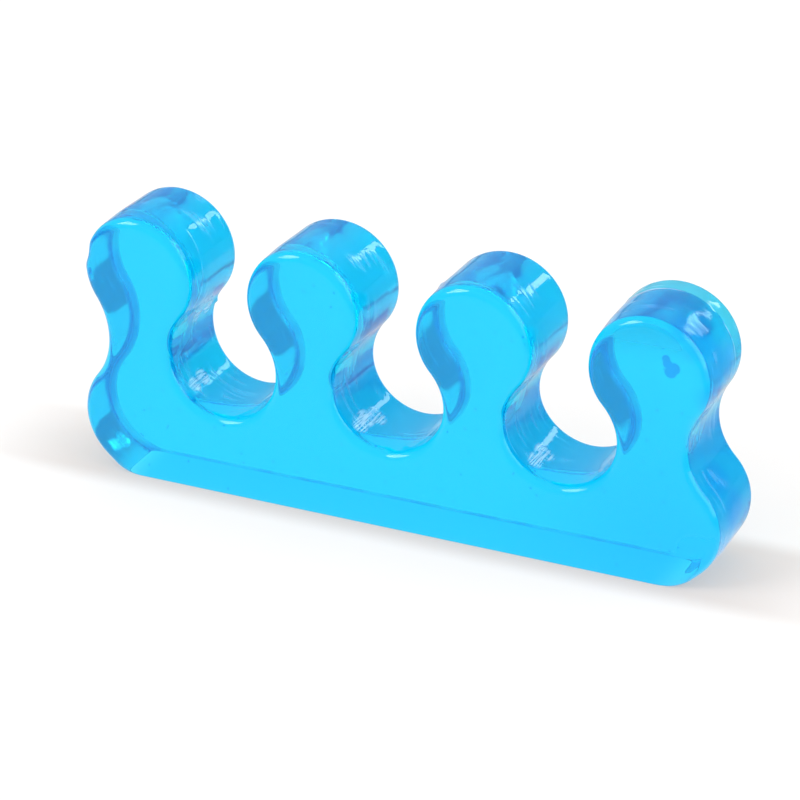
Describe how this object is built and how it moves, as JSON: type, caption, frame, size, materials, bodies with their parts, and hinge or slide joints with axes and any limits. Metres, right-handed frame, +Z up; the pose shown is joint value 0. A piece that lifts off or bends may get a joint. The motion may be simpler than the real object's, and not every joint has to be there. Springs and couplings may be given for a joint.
{
  "type": "toe separator",
  "caption": "Soft clear gel toe separator: a flat-based bar with round-headed posts and round toe gaps between them.",
  "frame": {"origin": "middle of the flat base that the bar stands on", "axes": "+X along the bar, +Y through its thickness from the rounded front face to the back face, +Z up the posts"},
  "size_m": [0.0872, 0.0122, 0.0358],
  "materials": {
    "gel": "gloss, clear blue gel"
  },
  "bodies": {
    "root": {"gel_body": "gel"}
  },
  "joints": []
}
